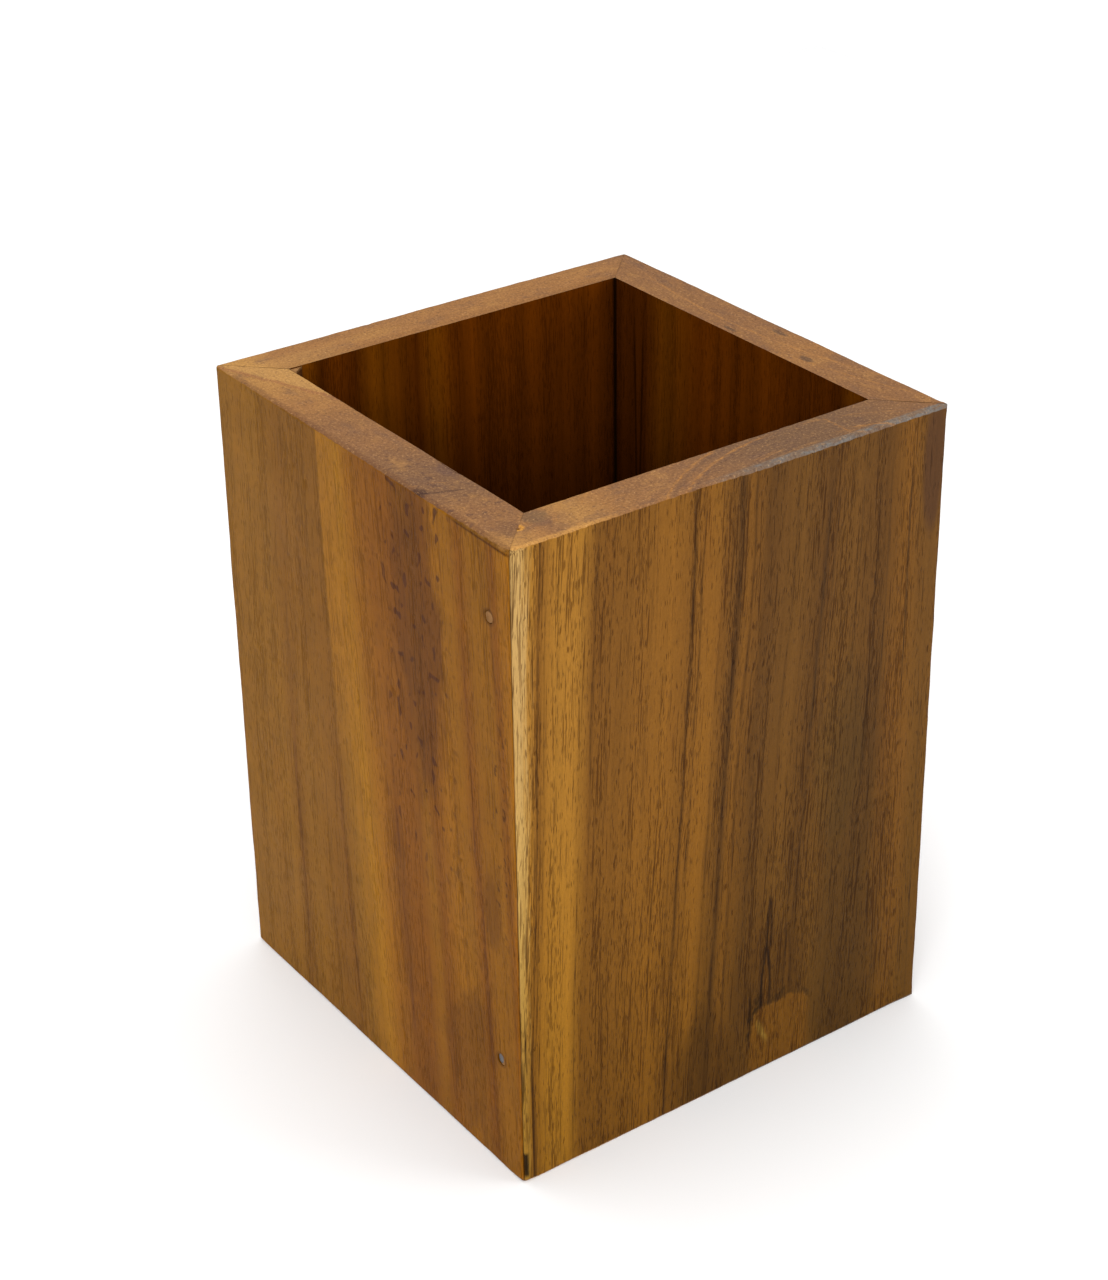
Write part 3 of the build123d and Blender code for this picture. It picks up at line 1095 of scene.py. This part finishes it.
def steel_paint():
    """Steel wire dulled by a grey film, with a little rust on it."""
    paint = Paint("brad_steel")
    spot = paint.place(paint.x, paint.y, paint.z)
    film = paint.noise(spot, (1.2, 1.2, 1.2), 241, 3, 0.6)
    marks = paint.noise(spot, (5.0, 0.8, 5.0), 242, 2)
    colour = paint.ramp(film, -1, 1, {-1: (58, 58, 60), 0: (80, 82, 85), 1: (106, 109, 114)})
    colour = paint.mix(film.steps(0.35, 0.9) * 0.5, colour, tint(116, 74, 46))
    paint.surface.inputs["Metallic"].default_value = 0.3
    return paint.finish(colour, marks * 0.08 + film.steps(0.3, 0.9) * 0.25 + 0.36, marks, 0.02)


# ---------------------------------------------------------------- brads, holes and filler

BRADS = sorted(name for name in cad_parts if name.startswith("brad_"))
PLUGS = sorted(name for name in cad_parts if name.startswith("filler_plug_"))
SHANK_RADIUS = 0.6
HEAD_RADIUS = 1.0
HEAD_THICK = 0.8
HOLE_RADIUS = 1.1
UNFILLED = next(name for name in BRADS if name.replace("brad", "filler_plug") not in PLUGS)

lumps = Noise(29)


def brad_place(name):
    """Where the brad's hole starts on the outside, its direction, its head's depth, its length."""
    low, high = (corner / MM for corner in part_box(name))
    size = high - low
    axis = max(range(3), key=lambda i: size[i])
    middle = (low + high) / 2
    side = math.copysign(1, middle[axis])
    inward = Vector((0, 0, 0))
    inward[axis] = -side
    depth = HALF - max(abs(low[axis]), abs(high[axis]))
    face = middle.copy()
    face[axis] = side * HALF
    return face, inward, depth, size[axis]


# The two brads whose heads show on the left board, near the front corner.
_lower, _upper = (brad_place(f"brad_front_left_{level}")[0] for level in ("lower", "upper"))
BRAD_ALONG = -_lower.y
LOWER_BRAD = _lower.z
UPPER_BRAD = _upper.z


def along_x(direction):
    """The turn that takes X to a direction."""
    return Vector(direction).to_track_quat("X", "Z").to_matrix().to_4x4()


def lathe(name, profile, start, direction, segments=32):
    """A closed turned solid. Its profile is (distance along the axis, radius) from end to end."""
    points = []
    for distance, radius in profile:
        for i in range(segments):
            turn = 2 * math.pi * i / segments
            points.append((distance, radius * math.cos(turn), radius * math.sin(turn)))
    mesh = bpy.data.meshes.new(name)
    mesh.from_pydata(points, [], tube_faces(len(profile), segments))
    mesh.transform(Matrix.Scale(MM, 4) @ Matrix.Translation(start) @ along_x(direction))
    return link(name, mesh)


def tube_faces(rings, segments):
    """The faces of a closed tube made of rings of points, with both ends capped."""
    faces = []
    for ring in range(rings - 1):
        for i in range(segments):
            j = (i + 1) % segments
            p, q = ring * segments, (ring + 1) * segments
            faces.append((p + i, p + j, q + j, q + i))
    faces.append(tuple(range(segments - 1, -1, -1)))
    faces.append(tuple(range((rings - 1) * segments, rings * segments)))
    return faces


def hole_cutter(name):
    face, inward, depth, length = brad_place(name)
    profile = [
        (-2.0, HOLE_RADIUS),
        (depth, HOLE_RADIUS),
        (depth, HEAD_RADIUS),
        (depth + HEAD_THICK, HEAD_RADIUS),
        (depth + HEAD_THICK, SHANK_RADIUS),
        (depth + length, SHANK_RADIUS),
    ]
    return lathe(f"cutter_{name}", profile, face, inward)


def drill(board, cutters):
    """Cut the brads' holes from a board."""
    for cutter in cutters:
        modifier = board.modifiers.new("hole", "BOOLEAN")
        modifier.operation = "DIFFERENCE"
        modifier.solver = "MANIFOLD"
        modifier.object = cutter
    bpy.context.view_layer.update()
    evaluated = board.evaluated_get(bpy.context.evaluated_depsgraph_get())
    mesh = bpy.data.meshes.new_from_object(evaluated)
    board.modifiers.clear()
    board.data = mesh


def make_boards():
    cutters = {name: hole_cutter(name) for name in BRADS}
    for node, quarters in QUARTER_TURNS.items():
        board = link(f"wood_{node}", board_mesh(node, quarters))
        side = node.removesuffix("_board")
        drill(board, [cutter for name, cutter in cutters.items() if side in name.split("_")])
        board.data.shade_smooth()
        board.data.set_sharp_from_angle(angle=math.radians(38))
        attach(board, "root")
        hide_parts(node)
        board.data.materials[0] = outside_teak(side, quarters)
        board.data.materials[1] = inside_teak(side, quarters)
    for cutter in cutters.values():
        bpy.data.objects.remove(cutter)


def filler_piece(name, node, rings, segments):
    """A lump of wood filler from rings of points, in place of its plain solid."""
    mesh = bpy.data.meshes.new(name)
    points = np.concatenate(rings) * MM
    mesh.from_pydata(points.tolist(), [], tube_faces(len(rings), segments))
    mesh.shade_smooth()
    mesh.set_sharp_from_angle(angle=math.radians(50))
    piece = link(name, mesh)
    piece.data.materials.append(filler)
    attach(piece, "root")
    if node:
        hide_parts(node)
    return piece


def make_plug(node):
    """Filler pressed into a brad's hole: slightly dished, lumpy, and shrunk from the hole's wall."""
    face, inward, depth, _ = brad_place(node.replace("filler_plug", "brad"))
    segments = 48
    turns = 2 * math.pi * np.arange(segments) / segments
    aim = np.array(along_x(inward).to_3x3())
    rings = []
    dish = [(0.16, 0.02), (0.14, 0.2), (0.12, 0.4), (0.09, 0.6), (0.06, 0.8), (0.07, 0.92), (0.16, 1.0)]
    for sunk, part in [*dish, (depth * 0.6, 1.0), (depth, 1.0)]:
        radius = part * (HOLE_RADIUS - 0.09)
        flat = np.full(segments, sunk)
        circle = np.stack([flat, radius * np.cos(turns), radius * np.sin(turns)], axis=1)
        placed = circle @ aim.T + np.array(face)
        uneven = 0.045 * lumps(placed, 0.5) * (sunk < 0.2)
        slack = 1 + 0.05 * lumps(placed, 0.9)
        circle = circle * np.stack([np.ones(segments), slack, slack], axis=1)
        circle[:, 0] += uneven
        rings.append(circle @ aim.T + np.array(face))
    filler_piece(node.replace("filler", "wood_filler"), node, rings, segments)


def make_remnant(name):
    """The crescent of filler left in the hole whose filler has fallen out."""
    face, inward, depth, _ = brad_place(name)
    segments = 20
    aim = np.array(along_x(inward).to_3x3())
    spine = np.radians(np.linspace(100, 285, 26))
    taper = np.sin(np.linspace(0, math.pi, len(spine))) ** 0.6
    rings = []
    for turn, full in zip(spine, taper):
        loop = 2 * math.pi * np.arange(segments) / segments
        reach = HOLE_RADIUS - 0.06 - 0.24 * full * (1 - np.cos(loop))
        sunk = depth - 0.02 - 0.11 * full * (1 + np.sin(loop))
        ring = np.stack([sunk, reach * math.cos(turn), reach * math.sin(turn)], axis=1)
        placed = ring @ aim.T + np.array(face)
        rings.append(placed + 0.02 * full * lumps(placed, 0.4)[:, None] * np.array(inward))
    filler_piece("filler_remnant", None, rings, segments)


def make_corner_filler():
    """Sawdust and glue pushed into the inner left corner of the mouth: a ragged concave wedge."""
    low, high = (np.array(corner / MM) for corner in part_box("corner_filler"))
    corner = np.array([low[0], high[1]])
    leg = high[0] - low[0]
    segments = 44
    rings = []
    for level in np.linspace(0, 1, 16):
        z = high[2] - 0.15 - (high[2] - low[2] - 0.3) * level
        shrink = 1 - 0.55 * smooth(level, 0.35, 1.05)
        edge = np.linspace(0, 1, segments // 2)
        hollow = 0.26 * np.sin(math.pi * edge) * leg
        front = np.stack([leg * (1 - edge), -leg * edge], axis=1)
        front -= hollow[:, None] * np.array([1, -1]) * 0.35
        back = np.stack([0.02 * np.ones_like(edge), -leg * (1 - edge) * 0.98], axis=1)
        half = len(edge) // 2
        rest = leg * edge[::2][:half]
        back = np.concatenate([back[::2][:half], np.stack([rest, 0 * rest], axis=1)])
        outline = np.concatenate([front, back]) * shrink
        flat = outline + corner
        ring = np.column_stack([flat, np.full(len(flat), z)])
        rough = 0.16 * lumps(ring, 0.9) + 0.08 * lumps(ring + 40, 0.4)
        into_well = np.array([1, -1, 0]) / math.sqrt(2)
        on_front = np.r_[np.sin(math.pi * edge) ** 0.5, np.zeros(len(back))]
        ring = ring + (rough * on_front)[:, None] * into_well
        ring[:, 2] -= (level == 0) * 0.12 * (1 + lumps(ring + 7, 0.7))
        rings.append(ring)
    filler_piece("wood_corner_filler", "corner_filler", rings, len(rings[0]))


# ---------------------------------------------------------------- scene

def camera():
    """A long lens from the front left, a little above the rim."""
    azimuth, elevation, roll = math.radians(-35.35), math.radians(27.36), math.radians(-0.87)
    aim = Vector((-2.8, 2.7, 87.7)) * MM
    distance = 470 * MM
    level = math.cos(elevation)
    back = Vector((math.sin(azimuth) * level, -math.cos(azimuth) * level, math.sin(elevation)))
    data = bpy.data.cameras.new("camera")
    data.lens = 74.46
    data.sensor_width = 36
    data.shift_y = -0.0625
    data.clip_start = 0.01
    view = link("camera", data)
    view.rotation_mode = "QUATERNION"
    view.rotation_quaternion = (-back).to_track_quat("-Z", "Y") @ Quaternion((0, 0, 1), roll)
    view.location = aim + back * distance
    bpy.context.scene.camera = view


def lamp(name, place, aim, size, power):
    """A square soft box. Places are in metres."""
    data = bpy.data.lights.new(name, "AREA")
    data.shape = "SQUARE"
    data.size = size
    data.energy = power
    light = link(name, data)
    light.location = place
    light.rotation_mode = "QUATERNION"
    light.rotation_quaternion = (Vector(aim) - Vector(place)).to_track_quat("-Z", "Y")


def stage():
    mesh = bpy.data.meshes.new("floor")
    size = 0.44
    corners = [(-size, -size, 0), (size, -size, 0), (size, size, 0), (-size, size, 0)]
    mesh.from_pydata(corners, [], [(0, 1, 2, 3)])
    floor = link("floor", mesh)
    material = bpy.data.materials.new("floor")
    material.use_nodes = True
    surface = material.node_tree.nodes["Principled BSDF"]
    surface.inputs["Base Color"].default_value = (0.92, 0.92, 0.92, 1)
    surface.inputs["Roughness"].default_value = 0.9
    surface.inputs["Specular IOR Level"].default_value = 0.1
    mesh.materials.append(material)
    bpy.context.scene.view_settings.view_transform = "Standard"


def studio():
    """A white surround and three soft boxes. The surround lights the scene less than it shows."""
    world = bpy.data.worlds.new("studio")
    world.use_nodes = True
    tree = world.node_tree
    path = tree.nodes.new("ShaderNodeLightPath")
    shown = Num(tree, path.outputs["Is Camera Ray"])
    background = tree.nodes["Background"]
    background.inputs["Color"].default_value = (1, 1, 1, 1)
    feed(tree, background.inputs["Strength"], shown * 0.5 + 0.65)
    bpy.context.scene.world = world
    aim = (0, 0, 0.06)
    lamp("key", (-0.75, -0.8, 0.75), aim, 0.6, 9)
    lamp("fill", (0.9, -0.9, 0.5), aim, 0.6, 5)
    lamp("top", (0.0, 0.2, 1.2), aim, 0.8, 6)


filler = filler_paint()
make_boards()
for node in PLUGS:
    make_plug(node)
make_remnant(UNFILLED)
make_corner_filler()
steel = steel_paint()
for node in BRADS:
    bpy.data.objects[node].data.materials.clear()
    bpy.data.objects[node].data.materials.append(steel)
bpy.data.objects["floor_panel"].data.materials.clear()
bpy.data.objects["floor_panel"].data.materials.append(panel_teak())
camera()
stage()
studio()
